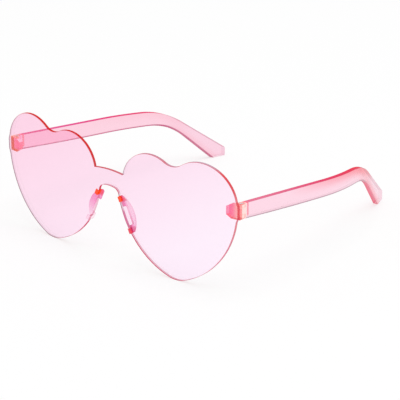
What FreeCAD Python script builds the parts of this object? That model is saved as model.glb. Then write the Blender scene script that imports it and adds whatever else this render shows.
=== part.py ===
import FreeCAD, Part
import math
import os
import Sketcher

# Rimless heart shaped sunglasses: one curved lens shield, two hinged temple arms,
# two end pieces with hinge screws and two clip-on nose pads.
# +X is the wearer's left, +Y runs back over the ears, +Z is up.
# The heart tips and the arm tips stand on z = 0.

# Driving dimensions in millimetres and degrees
SIZES = {
    # Lens shield sheet
    "front_width": 148.6,
    "lens_thickness": 1.5,
    "lens_radius": 492.0,
    "lens_edge_round": 0.2,
    # Heart outline, measured from the middle of the bridge
    "lobe_height": 42.1,
    "inner_lobe_offset": 25.9,
    "inner_lobe_radius": 17.2,
    "outer_lobe_radius": 19.1,
    "cleft_radius": 9.2,
    "inner_side_offset": 5.7,
    "heart_tip_offset": 40.6,
    "heart_tip_radius": 14.0,
    "bridge_rise": 4.0,
    "bridge_radius": 55.0,
    "bridge_height": 8.2,
    "arch_corner_radius": 3.4,
    "arch_crown": 0.35,
    "flank_length": 3.0,
    # Ear tab that carries the end piece
    "ear_proud": 0.5,
    "ear_rise": 1.6,
    "ear_drop": 3.6,
    "ear_ramp": 2.4,
    # End piece and hinge
    "hinge_drop": 1.3,
    "hinge_height": 7.2,
    "hinge_standoff": 2.9,
    "knuckle_gap": 0.15,
    "tongue_height": 3.0,
    "tongue_gap": 0.1,
    "bond_gap": 0.05,
    "foot_width": 7.2,
    "foot_end_height": 4.0,
    "foot_taper": 2.6,
    # Hinge screw
    "screw_radius": 0.7,
    "screw_head_radius": 1.0,
    "screw_head_height": 0.6,
    "screw_fit": 0.05,
    "thread_fit": 0.02,
    "head_fit": 0.05,
    "head_recess": 0.1,
    "driver_slot_width": 0.35,
    "driver_slot_depth": 0.3,
    # Temple arm
    "overall_depth": 151.3,
    "arm_thickness": 2.9,
    "arm_drop": 1.57,
    "arm_front_height": 7.7,
    "arm_slope": 6.3,
    "belly_slope": 7.77,
    "belly_radius": 1950.0,
    "drop_slope": 36.8,
    "heel_slope": 43.4,
    "bend_outer_radius": 48.0,
    "bend_inner_radius": 38.0,
    "tip_level": 4.15,
    "tip_round": 1.4,
    "tip_foot_round": 0.9,
    "heel_setback": 7.65,
    "heel_radius": 1.0,
    "curve_start": 72.0,
    "curve_radius": 137.0,
    "curve_angle": 18.5,
    "arm_edge_round": 0.5,
    # Nose pad
    "pad_tilt": 12.2,
    "pad_length": 18.6,
    "pad_top_gap": 1.0,
    "pad_width": 5.4,
    "pad_end_radius": 0.9,
    "pad_overhang": 0.1,
    "pad_thickness": 1.1,
    "pad_clearance": 0.1,
    "pad_edge_round": 0.35,
    "pad_top_end": 5.4,
    "pad_bottom_end": 3.8,
    "window_depth": 2.2,
    "window_corner": 0.8,
    "hook_length": 2.7,
    "hook_web": 0.45,
    "claw_reach": 1.3,
    "claw_thickness": 0.45,
}

# Spare length by which cutting outlines overrun the stock they trim
OVERRUN = 5.0


class Size:
    """A dimension together with the sheet expression that drives it."""

    def __init__(self, text, value):
        self.text = text
        self.value = value

    def __add__(self, other):
        other = as_size(other)
        return Size(f"({self.text} + {other.text})", self.value + other.value)

    def __sub__(self, other):
        other = as_size(other)
        return Size(f"({self.text} - {other.text})", self.value - other.value)

    def __radd__(self, other):
        return as_size(other) + self

    def __rsub__(self, other):
        return as_size(other) - self

    def __mul__(self, other):
        other = as_size(other)
        return Size(f"({self.text} * {other.text})", self.value * other.value)

    def __rmul__(self, other):
        return as_size(other) * self

    def __truediv__(self, other):
        other = as_size(other)
        return Size(f"({self.text} / {other.text})", self.value / other.value)

    def __neg__(self):
        return Size(f"(0 - {self.text})", -self.value)


def as_size(item):
    """Turns a plain number into a Size and leaves a Size alone."""
    if isinstance(item, Size):
        return item
    return Size(repr(float(item)), float(item))


def sine(angle):
    return Size(f"sin({angle.text} * 1 deg)", math.sin(math.radians(angle.value)))


def cosine(angle):
    return Size(f"cos({angle.text} * 1 deg)", math.cos(math.radians(angle.value)))


def heading(rise, run):
    """Gives the direction of a rise over a run, in degrees."""
    turn = math.degrees(math.atan2(rise.value, run.value))
    return Size(f"(atan2({rise.text}; {run.text}) / 1 deg)", turn)


def spread(share):
    """Gives the angle in degrees whose cosine is given."""
    return Size(f"(acos({share.text}) / 1 deg)", math.degrees(math.acos(share.value)))


def root(square):
    return Size(f"sqrt({square.text})", math.sqrt(square.value))


doc = FreeCAD.newDocument("heart_sunglasses")
sheet = doc.addObject("Spreadsheet::Sheet", "sizes")
for row, (alias, number) in enumerate(SIZES.items(), start=1):
    sheet.set(f"A{row}", alias)
    sheet.set(f"B{row}", str(number))
    sheet.setAlias(f"B{row}", alias)
doc.recompute()


def size(alias):
    """Looks up one driving dimension."""
    return Size(f"sizes.{alias}", float(getattr(sheet, alias)))


# Dimensions that several pieces share
half_front = size("front_width") / 2
lens_back_radius = size("lens_radius") - size("lens_thickness")
knuckle_radius = size("arm_thickness") / 2
axis_x = half_front - knuckle_radius
lens_edge_back = size("lens_radius") - root(lens_back_radius * lens_back_radius - half_front * half_front)
axis_y = lens_edge_back + size("hinge_standoff")
shoulder_y = axis_y + knuckle_radius + size("knuckle_gap")
foot_back = axis_y - knuckle_radius - size("knuckle_gap")
hinge_level = size("lobe_height") - size("hinge_drop")
hinge_top = hinge_level + size("hinge_height") / 2
hinge_bottom = hinge_level - size("hinge_height") / 2
tongue_bottom = hinge_level - size("tongue_height") / 2
screw_seat = hinge_top - size("head_recess") - size("screw_head_height")
arm_level = size("lobe_height") - size("arm_drop")
stock_top = size("lobe_height") + size("inner_lobe_radius") + size("outer_lobe_radius")
row_offset = (size("pad_clearance") + size("claw_thickness") - size("overall_depth")) / 2


# Drawing helpers


def bind(item, path, dimension):
    """Drives one property of an object from the sheet."""
    item.setExpression(path, dimension.text)


def new_body(label):
    body = doc.addObject("PartDesign::Body", label)
    body.Label = label
    return body


def new_sketch(body, name, role, level=None):
    """Attaches a sketch to one of the body's own planes, raised to a level along its normal."""
    plane = next(item for item in body.Origin.OriginFeatures if item.Role == role)
    drawing = body.newObject("Sketcher::SketchObject", name)
    drawing.AttachmentSupport = [(plane, "")]
    drawing.MapMode = "FlatFace"
    if level is not None:
        drawing.AttachmentOffset = FreeCAD.Placement(FreeCAD.Vector(0, 0, level.value), FreeCAD.Rotation())
        bind(drawing, "AttachmentOffset.Base.z", level)
    return drawing


def flat(x, y):
    return FreeCAD.Vector(x, y, 0)


def add_line(drawing, start, end):
    return drawing.addGeometry(Part.LineSegment(flat(*start), flat(*end)))


def add_arc(drawing, centre, radius, first, last):
    """Adds an arc that runs anticlockwise between two angles in degrees."""
    circle = Part.Circle(flat(*centre), FreeCAD.Vector(0, 0, 1), radius)
    return drawing.addGeometry(Part.ArcOfCircle(circle, math.radians(first), math.radians(last)))


def add_circle(drawing, centre_x, centre_y, radius):
    """Adds a circle with its centre and radius driven from the sheet."""
    circle = Part.Circle(flat(centre_x.value, centre_y.value), FreeCAD.Vector(0, 0, 1), radius.value)
    made = drawing.addGeometry(circle)
    place_x(drawing, made, 3, centre_x)
    place_y(drawing, made, 3, centre_y)
    set_radius(drawing, made, radius)
    return made


def driven(drawing, kind, references, dimension):
    """Adds a dimension to a sketch and drives it from the sheet."""
    index = drawing.addConstraint(Sketcher.Constraint(kind, *references, dimension.value))
    bind(drawing, f"Constraints[{index}]", dimension)


def place(drawing, kind, geometry, point, dimension):
    """Holds a point at a signed distance from the sketch origin."""
    if dimension.value >= 0:
        driven(drawing, kind, (-1, 1, geometry, point), dimension)
    else:
        driven(drawing, kind, (geometry, point, -1, 1), -dimension)


def place_x(drawing, geometry, point, dimension):
    place(drawing, "DistanceX", geometry, point, dimension)


def place_y(drawing, geometry, point, dimension):
    place(drawing, "DistanceY", geometry, point, dimension)


def set_radius(drawing, geometry, dimension):
    driven(drawing, "Radius", (geometry,), dimension)


def set_angle(drawing, geometry, dimension):
    """Holds a line's direction, in degrees anticlockwise from the sketch's x axis."""
    index = drawing.addConstraint(Sketcher.Constraint("Angle", geometry, math.radians(dimension.value)))
    bind(drawing, f"Constraints[{index}]", dimension)


def join(drawing, kind, first, first_point, second, second_point):
    drawing.addConstraint(Sketcher.Constraint(kind, first, first_point, second, second_point))


def on_upright_axis(drawing, geometry, point):
    drawing.addConstraint(Sketcher.Constraint("PointOnObject", geometry, point, -2))


def add_polygon(drawing, corners):
    """Draws a closed polygon whose corners are all driven from the sheet."""
    points = [(x.value, y.value) for x, y in corners]
    lines = [add_line(drawing, point, points[(i + 1) % len(points)]) for i, point in enumerate(points)]
    for i, line in enumerate(lines):
        join(drawing, "Coincident", line, 2, lines[(i + 1) % len(lines)], 1)
        place_x(drawing, line, 1, corners[i][0])
        place_y(drawing, line, 1, corners[i][1])
    return lines


def add_box_outline(drawing, low, high):
    """Draws a rectangle between two corners."""
    return add_polygon(drawing, [(low[0], low[1]), (high[0], low[1]), (high[0], high[1]), (low[0], high[1])])


def add_pad(body, name, profile, length, backwards=False):
    pad = body.newObject("PartDesign::Pad", name)
    pad.Profile = profile
    pad.Length = length.value
    bind(pad, "Length", length)
    pad.Reversed = backwards
    doc.recompute()
    return pad


def add_pocket(body, name, profile, length=None, backwards=False):
    """Cuts a sketch into the body, to a depth or right through, and checks that it cut."""
    before = body.Shape.Volume
    pocket = body.newObject("PartDesign::Pocket", name)
    pocket.Profile = profile
    if length is None:
        pocket.Type = "ThroughAll"
    else:
        pocket.Length = length.value
        bind(pocket, "Length", length)
    pocket.Reversed = backwards
    doc.recompute()
    if body.Shape.Volume >= before:
        raise RuntimeError(f"{name} cut nothing from {body.Label}")
    return pocket


def edges_where(shape, wanted):
    """Names the edges of a shape that pass a test."""
    return [f"Edge{i}" for i, edge in enumerate(shape.Edges, start=1) if wanted(edge)]


def add_fillet(body, name, base, wanted, radius):
    fillet = body.newObject("PartDesign::Fillet", name)
    fillet.Base = (base, edges_where(base.Shape, wanted))
    fillet.Radius = radius.value
    bind(fillet, "Radius", radius)
    doc.recompute()
    return fillet


def polar(centre, point):
    """Gives the angle in degrees, from 0 to 360, of a point seen from a centre."""
    return math.degrees(math.atan2(point[1] - centre[1], point[0] - centre[0])) % 360


def towards(centre, target, distance):
    """Gives the point at a distance from a centre in the direction of a target."""
    share = distance / math.dist(centre, target)
    return (centre[0] + share * (target[0] - centre[0]), centre[1] + share * (target[1] - centre[1]))


def circles_meet(first, first_radius, second, second_radius, side):
    """Gives one of the two points where two circles cross, to the left of the line of centres for side 1."""
    gap = math.dist(first, second)
    along = (first_radius**2 - second_radius**2 + gap**2) / (2 * gap)
    off = side * math.sqrt(first_radius**2 - along**2)
    unit = ((second[0] - first[0]) / gap, (second[1] - first[1]) / gap)
    return (first[0] + along * unit[0] - off * unit[1], first[1] + along * unit[1] + off * unit[0])


def cross_tangent(first, first_radius, second, second_radius):
    """Gives the touching points of a line that passes between two circles, first above the line's foot."""
    direction = math.atan2(second[1] - first[1], second[0] - first[0])
    opening = math.acos((first_radius + second_radius) / math.dist(first, second))
    normal = (math.cos(direction + opening), math.sin(direction + opening))
    start = (first[0] + first_radius * normal[0], first[1] + first_radius * normal[1])
    end = (second[0] - second_radius * normal[0], second[1] - second_radius * normal[1])
    return start, end


# Heart circles: each long side joins the lobe level to the round tip
heart_reach = half_front - size("ear_proud")
outer_lobe_x = heart_reach - size("outer_lobe_radius")
heart_tip_x = size("heart_tip_offset")
tip_depth = size("lobe_height") - size("heart_tip_radius")
outer_start = heart_reach - size("heart_tip_radius")
tip_distance = heart_tip_x * heart_tip_x + tip_depth * tip_depth
outer_side_x = (outer_start * outer_start - tip_distance) / ((outer_start - heart_tip_x) * 2)
outer_side_radius = heart_reach - outer_side_x
inner_start = size("inner_side_offset") + size("heart_tip_radius")
inner_side_x = (inner_start * inner_start - tip_distance) / ((inner_start - heart_tip_x) * 2)
inner_side_radius = inner_side_x - size("inner_side_offset")
bridge_top = size("lobe_height") + size("bridge_rise")
arch_top = bridge_top - size("bridge_height")
arch_rise = size("arch_corner_radius") + size("arch_crown")
arch_level = arch_top - arch_rise

# Straight flank between the nose arch's round corner and the heart's inner side
flank_length = size("flank_length")
flank_rise = size("lobe_height") - arch_level
flank_radii = size("arch_corner_radius") + inner_side_radius
flank_span = root(flank_radii * flank_radii + flank_length * flank_length)
flank_run = root(flank_span * flank_span - flank_rise * flank_rise)
flank_normal = heading(flank_rise, flank_run) + spread(flank_radii / flank_span)

# Shallow arc over the nose, from corner to corner
arch_corner_x = inner_side_x - flank_run
arch_square = arch_corner_x * arch_corner_x + (arch_rise + size("arch_corner_radius")) * size("arch_crown")
arch_radius = arch_square / (size("arch_crown") * 2)

# The nose pad's seat: the point where its length touches the heart's inner side
pad_lean = 90 - flank_normal - size("pad_tilt")
seat_x = inner_side_x - inner_side_radius * sine(pad_lean)
seat_z = size("lobe_height") - inner_side_radius * cosine(pad_lean)
pad_turn_length = inner_side_radius * sine(size("pad_tilt"))
pad_rise = pad_turn_length + flank_length * cosine(size("pad_tilt")) - size("pad_top_gap")
pad_drop = size("pad_length") - pad_rise

# How far the lens edge has curved away from the pad's straight line at the middle of each hook
top_run = pad_rise - size("hook_length") / 2 - pad_turn_length
top_curve = inner_side_radius - inner_side_radius * cosine(size("pad_tilt"))
top_gap = top_curve + top_run * sine(size("pad_tilt")) / cosine(size("pad_tilt"))
bottom_run = pad_drop - size("hook_length") / 2
bottom_gap = inner_side_radius - root(inner_side_radius * inner_side_radius - bottom_run * bottom_run)
hook_places = {
    "top_hook": (-pad_rise, top_gap),
    "bottom_hook": (pad_drop - size("hook_length"), bottom_gap),
}


def from_pad(along, inward):
    """Turns a place along the pad and into the heart into the lens's own x and z."""
    x = seat_x + along * cosine(pad_lean) + inward * sine(pad_lean)
    z = seat_z - along * sine(pad_lean) + inward * cosine(pad_lean)
    return x, z


# Lens shield


def draw_lens_blank(body):
    """Draws the bent sheet in plan: two concentric arcs closed by straight ends."""
    drawing = new_sketch(body, "blank_plan", "XY_Plane")
    half = (half_front + OVERRUN).value
    centre = (0, size("lens_radius").value)
    front = size("lens_radius").value
    back = lens_back_radius.value
    front_turn = math.degrees(math.asin(half / front))
    back_turn = math.degrees(math.asin(half / back))
    front_arc = add_arc(drawing, centre, front, 270 - front_turn, 270 + front_turn)
    back_arc = add_arc(drawing, centre, back, 270 - back_turn, 270 + back_turn)
    ends = []
    for side, front_point in ((-half, 1), (half, 2)):
        front_y = centre[1] - math.sqrt(front**2 - half**2)
        back_y = centre[1] - math.sqrt(back**2 - half**2)
        end = add_line(drawing, (side, front_y), (side, back_y))
        join(drawing, "Coincident", front_arc, front_point, end, 1)
        join(drawing, "Coincident", back_arc, front_point, end, 2)
        drawing.addConstraint(Sketcher.Constraint("Vertical", end))
        ends.append(end)
    place_x(drawing, ends[0], 1, -(half_front + OVERRUN))
    place_x(drawing, ends[1], 1, half_front + OVERRUN)
    on_upright_axis(drawing, front_arc, 3)
    place_y(drawing, front_arc, 3, size("lens_radius"))
    join(drawing, "Coincident", front_arc, 3, back_arc, 3)
    set_radius(drawing, front_arc, size("lens_radius"))
    set_radius(drawing, back_arc, lens_back_radius)
    return drawing


def draw_waste_outline(body):
    """Draws all that lies outside one heart, from the middle line out past the sheet's edge."""
    drawing = new_sketch(body, "heart_outline", "XZ_Plane")
    level = size("lobe_height").value
    inner_lobe = (size("inner_lobe_offset").value, level)
    outer_lobe = (outer_lobe_x.value, level)
    inner_lobe_radius = size("inner_lobe_radius").value
    outer_lobe_radius = size("outer_lobe_radius").value
    cleft_radius = size("cleft_radius").value
    tip_radius = size("heart_tip_radius").value
    tip = (heart_tip_x.value, tip_radius)
    outer_radius = outer_side_radius.value
    inner_radius = inner_side_radius.value
    outer_side = (outer_side_x.value, level)
    inner_side = (inner_side_x.value, level)
    bridge_radius = size("bridge_radius").value
    bridge = (0, bridge_top.value - bridge_radius)
    arch = (0, (arch_top - arch_radius).value)
    corner_radius = size("arch_corner_radius").value
    corner = (arch_corner_x.value, arch_level.value)
    corner_top = towards(arch, corner, arch_radius.value)
    inner_reach = inner_lobe_radius + cleft_radius
    outer_reach = outer_lobe_radius + cleft_radius
    cleft = circles_meet(inner_lobe, inner_reach, outer_lobe, outer_reach, 1)
    notch = circles_meet(bridge, bridge_radius, inner_lobe, inner_lobe_radius, 1)
    cleft_start = towards(inner_lobe, cleft, inner_lobe_radius)
    cleft_end = towards(outer_lobe, cleft, outer_lobe_radius)
    tip_end = towards(outer_side, tip, outer_radius)
    tip_start = towards(inner_side, tip, inner_radius)
    corner_foot, flank_foot = cross_tangent(corner, corner_radius, inner_side, inner_radius)
    ear_x = half_front
    ear_top = size("lobe_height") + size("ear_rise")
    ear_bottom = size("lobe_height") - size("ear_drop")
    ear_start = ear_top + size("ear_ramp")
    ear_end = ear_bottom - size("ear_ramp")
    ear_start_x = outer_lobe[0] + math.sqrt(outer_lobe_radius**2 - (ear_start.value - level) ** 2)
    ear_end_x = outer_side[0] + math.sqrt(outer_radius**2 - (ear_end.value - level) ** 2)
    upper_ear = (ear_start_x, ear_start.value)
    lower_ear = (ear_end_x, ear_end.value)
    far_x = half_front + OVERRUN * 2
    low_y = as_size(-OVERRUN)
    high_y = stock_top + OVERRUN
    arch_peak = (0, arch_top.value)
    bridge_peak = (0, bridge_top.value)

    middle_below = add_line(drawing, arch_peak, (0, low_y.value))
    below = add_line(drawing, (0, low_y.value), (far_x.value, low_y.value))
    beside = add_line(drawing, (far_x.value, low_y.value), (far_x.value, high_y.value))
    above = add_line(drawing, (far_x.value, high_y.value), (0, high_y.value))
    middle_above = add_line(drawing, (0, high_y.value), bridge_peak)
    bridge_arc = add_arc(drawing, bridge, bridge_radius, polar(bridge, notch), 90)
    inner_lobe_arc = add_arc(
        drawing, inner_lobe, inner_lobe_radius, polar(inner_lobe, cleft_start), polar(inner_lobe, notch)
    )
    cleft_arc = add_arc(drawing, cleft, cleft_radius, polar(cleft, cleft_start), polar(cleft, cleft_end))
    outer_lobe_arc = add_arc(
        drawing, outer_lobe, outer_lobe_radius, polar(outer_lobe, upper_ear), polar(outer_lobe, cleft_end)
    )
    ear_upper_ramp = add_line(drawing, upper_ear, (ear_x.value, ear_top.value))
    ear_edge = add_line(drawing, (ear_x.value, ear_top.value), (ear_x.value, ear_bottom.value))
    ear_lower_ramp = add_line(drawing, (ear_x.value, ear_bottom.value), lower_ear)
    outer_side_arc = add_arc(
        drawing, outer_side, outer_radius, polar(outer_side, tip_end), polar(outer_side, lower_ear)
    )
    tip_arc = add_arc(drawing, tip, tip_radius, polar(tip, tip_start), polar(tip, tip_end))
    inner_side_arc = add_arc(
        drawing, inner_side, inner_radius, polar(inner_side, flank_foot), polar(inner_side, tip_start)
    )
    flank = add_line(drawing, flank_foot, corner_foot)
    corner_arc = add_arc(drawing, corner, corner_radius, polar(corner, corner_foot), polar(corner, corner_top))
    arch_arc = add_arc(drawing, arch, arch_radius.value, polar(arch, corner_top), 90)

    join(drawing, "Coincident", middle_below, 2, below, 1)
    join(drawing, "Coincident", below, 2, beside, 1)
    join(drawing, "Coincident", beside, 2, above, 1)
    join(drawing, "Coincident", above, 2, middle_above, 1)
    join(drawing, "Coincident", middle_above, 2, bridge_arc, 2)
    join(drawing, "Coincident", bridge_arc, 1, inner_lobe_arc, 2)
    join(drawing, "Tangent", inner_lobe_arc, 1, cleft_arc, 1)
    join(drawing, "Tangent", cleft_arc, 2, outer_lobe_arc, 2)
    join(drawing, "Coincident", outer_lobe_arc, 1, ear_upper_ramp, 1)
    join(drawing, "Coincident", ear_upper_ramp, 2, ear_edge, 1)
    join(drawing, "Coincident", ear_edge, 2, ear_lower_ramp, 1)
    join(drawing, "Coincident", ear_lower_ramp, 2, outer_side_arc, 2)
    join(drawing, "Tangent", outer_side_arc, 1, tip_arc, 2)
    join(drawing, "Tangent", tip_arc, 1, inner_side_arc, 2)
    join(drawing, "Tangent", inner_side_arc, 1, flank, 1)
    join(drawing, "Tangent", flank, 2, corner_arc, 1)
    join(drawing, "Tangent", corner_arc, 2, arch_arc, 1)
    join(drawing, "Coincident", arch_arc, 2, middle_below, 1)

    for geometry, point in ((middle_below, 1), (middle_below, 2), (middle_above, 1), (middle_above, 2)):
        on_upright_axis(drawing, geometry, point)
    on_upright_axis(drawing, bridge_arc, 3)
    on_upright_axis(drawing, arch_arc, 3)
    place_y(drawing, middle_below, 1, arch_top)
    place_y(drawing, middle_above, 2, bridge_top)
    place_y(drawing, below, 1, low_y)
    place_x(drawing, beside, 1, far_x)
    place_y(drawing, beside, 1, low_y)
    place_x(drawing, above, 1, far_x)
    place_y(drawing, above, 1, high_y)
    place_y(drawing, above, 2, high_y)
    place_x(drawing, inner_lobe_arc, 3, size("inner_lobe_offset"))
    place_x(drawing, outer_lobe_arc, 3, outer_lobe_x)
    place_x(drawing, tip_arc, 3, heart_tip_x)
    place_y(drawing, tip_arc, 3, size("heart_tip_radius"))
    for geometry in (inner_lobe_arc, outer_lobe_arc, outer_side_arc, inner_side_arc):
        place_y(drawing, geometry, 3, size("lobe_height"))
    place_y(drawing, corner_arc, 3, arch_level)
    place_y(drawing, ear_upper_ramp, 1, ear_start)
    place_x(drawing, ear_edge, 1, ear_x)
    place_y(drawing, ear_edge, 1, ear_top)
    place_x(drawing, ear_edge, 2, ear_x)
    place_y(drawing, ear_edge, 2, ear_bottom)
    place_y(drawing, ear_lower_ramp, 2, ear_end)
    set_radius(drawing, bridge_arc, size("bridge_radius"))
    set_radius(drawing, inner_lobe_arc, size("inner_lobe_radius"))
    set_radius(drawing, cleft_arc, size("cleft_radius"))
    set_radius(drawing, outer_lobe_arc, size("outer_lobe_radius"))
    set_radius(drawing, outer_side_arc, outer_side_radius)
    set_radius(drawing, tip_arc, size("heart_tip_radius"))
    set_radius(drawing, inner_side_arc, inner_side_radius)
    set_radius(drawing, corner_arc, size("arch_corner_radius"))
    set_radius(drawing, arch_arc, arch_radius)
    return drawing


def draw_hook_notches(body):
    """Draws the notches in both inner sides that take the nose pads' hooks."""
    drawing = new_sketch(body, "notch_outline", "XZ_Plane")
    clearance = size("pad_clearance")
    outside = as_size(-OVERRUN)
    for start, gap in hook_places.values():
        upper = start - clearance
        lower = start + size("hook_length") + clearance
        floor = gap + size("hook_web") + clearance
        outline = ((upper, outside), (lower, outside), (lower, floor), (upper, floor))
        corners = [from_pad(along, inward) for along, inward in outline]
        add_polygon(drawing, corners)
        add_polygon(drawing, [(-x, z) for x, z in corners])
    return drawing


def build_lens_shield():
    """Makes the bent sheet, trims it to the two hearts, rounds its cut edges and notches it for the pads."""
    body = new_body("lens_shield")
    add_pad(body, "blank", draw_lens_blank(body), stock_top)
    waste = add_pocket(body, "heart_cut", draw_waste_outline(body))
    mirrored = body.newObject("PartDesign::Mirrored", "other_heart_cut")
    mirrored.Originals = [waste]
    mirrored.MirrorPlane = (next(item for item in body.Origin.OriginFeatures if item.Role == "YZ_Plane"), [""])
    body.Tip = mirrored
    doc.recompute()
    face_radii = (size("lens_radius").value, lens_back_radius.value)

    def on_sheet_face(edge):
        for face in mirrored.Shape.Faces:
            surface = face.Surface
            if isinstance(surface, Part.Cylinder) and min(abs(surface.Radius - r) for r in face_radii) < 1e-3:
                if any(edge.isSame(rim) for rim in face.Edges):
                    return True
        return False

    rounded = add_fillet(body, "edge_round", mirrored, on_sheet_face, size("lens_edge_round"))
    body.Tip = rounded
    add_pocket(body, "hook_notches", draw_hook_notches(body))
    return body


# End piece


def draw_end_piece_plan(body):
    """Draws the block in plan: a front face bonded along the sheet, a thin foot and a hinge lug."""
    drawing = new_sketch(body, "block_plan", "XY_Plane", hinge_bottom)
    seat_radius = lens_back_radius - size("bond_gap")
    foot_x = half_front - size("foot_width")
    lug_x = axis_x - knuckle_radius
    centre = (0, size("lens_radius").value)

    def seat_y(x):
        return centre[1] - math.sqrt(seat_radius.value**2 - x**2)

    inner = (foot_x.value, seat_y(foot_x.value))
    outer = (half_front.value, seat_y(half_front.value))
    seat = add_arc(drawing, centre, seat_radius.value, polar(centre, inner), polar(centre, outer))
    foot_end = add_line(drawing, inner, (foot_x.value, foot_back.value))
    foot_face = add_line(drawing, (foot_x.value, foot_back.value), (lug_x.value, foot_back.value))
    lug_side = add_line(drawing, (lug_x.value, foot_back.value), (lug_x.value, axis_y.value))
    lug_round = add_arc(drawing, (axis_x.value, axis_y.value), knuckle_radius.value, 0, 180)
    outside = add_line(drawing, (half_front.value, axis_y.value), outer)
    join(drawing, "Coincident", seat, 1, foot_end, 1)
    join(drawing, "Coincident", foot_end, 2, foot_face, 1)
    join(drawing, "Coincident", foot_face, 2, lug_side, 1)
    join(drawing, "Coincident", lug_side, 2, lug_round, 2)
    join(drawing, "Coincident", lug_round, 1, outside, 1)
    join(drawing, "Coincident", outside, 2, seat, 2)
    on_upright_axis(drawing, seat, 3)
    place_y(drawing, seat, 3, size("lens_radius"))
    set_radius(drawing, seat, seat_radius)
    place_x(drawing, foot_end, 1, foot_x)
    place_x(drawing, foot_face, 1, foot_x)
    place_y(drawing, foot_face, 1, foot_back)
    place_x(drawing, lug_side, 1, lug_x)
    place_y(drawing, lug_side, 1, foot_back)
    place_x(drawing, lug_round, 3, axis_x)
    place_y(drawing, lug_round, 3, axis_y)
    place_y(drawing, lug_side, 2, axis_y)
    place_y(drawing, outside, 1, axis_y)
    set_radius(drawing, lug_round, knuckle_radius)
    place_x(drawing, outside, 2, half_front)
    return drawing


def build_end_piece(label):
    """Makes the bonded block, cuts the tongue slot and the screw bore, and tapers the foot."""
    body = new_body(label)
    add_pad(body, "block", draw_end_piece_plan(body), size("hinge_height"))

    slot_height = size("tongue_height") + size("tongue_gap") * 2
    slot = new_sketch(body, "slot_plan", "XY_Plane", hinge_level + slot_height / 2)
    slot_inner = axis_x - knuckle_radius - size("knuckle_gap")
    slot_back = axis_y + knuckle_radius + OVERRUN
    add_box_outline(slot, (slot_inner, foot_back), (half_front + OVERRUN, slot_back))
    add_pocket(body, "tongue_slot", slot, slot_height)

    bore = new_sketch(body, "bore_plan", "XY_Plane", hinge_top)
    add_circle(bore, axis_x, axis_y, size("screw_radius") + size("thread_fit"))
    add_pocket(body, "screw_bore", bore)

    recess = new_sketch(body, "head_plan", "XY_Plane", hinge_top)
    add_circle(recess, axis_x, axis_y, size("screw_head_radius") + size("head_fit"))
    add_pocket(body, "head_seat", recess, hinge_top - screw_seat)

    taper = new_sketch(body, "foot_taper_outline", "XZ_Plane")
    foot_x = half_front - size("foot_width")
    taper_x = foot_x + size("foot_taper")
    drop = (size("hinge_height") - size("foot_end_height")) / 2
    lip = size("foot_end_height") / 4
    past_x = foot_x - lip * size("foot_taper") / drop
    for edge, inside, outside in (
        (hinge_bottom, hinge_bottom + drop + lip, hinge_bottom - OVERRUN),
        (hinge_top, hinge_top - drop - lip, hinge_top + OVERRUN),
    ):
        add_polygon(taper, [(taper_x, edge), (past_x, inside), (past_x, outside), (taper_x, outside)])
    add_pocket(body, "foot_taper_cut", taper)
    return body


# Hinge screw


def build_hinge_screw(label):
    """Makes a slotted screw about its own upright axis."""
    body = new_body(label)
    shank = new_sketch(body, "shank_plan", "XY_Plane", hinge_bottom)
    add_circle(shank, as_size(0), as_size(0), size("screw_radius"))
    add_pad(body, "shank", shank, screw_seat - hinge_bottom)
    head = new_sketch(body, "head_plan", "XY_Plane", screw_seat)
    add_circle(head, as_size(0), as_size(0), size("screw_head_radius"))
    add_pad(body, "head", head, size("screw_head_height"))
    slot = new_sketch(body, "driver_slot_plan", "XY_Plane", screw_seat + size("screw_head_height"))
    half_width = size("driver_slot_width") / 2
    half_length = size("screw_head_radius") * 2
    add_box_outline(slot, (-half_length, -half_width), (half_length, half_width))
    add_pocket(body, "driver_slot", slot, size("driver_slot_depth"))
    return body


# Temple arm


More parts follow.
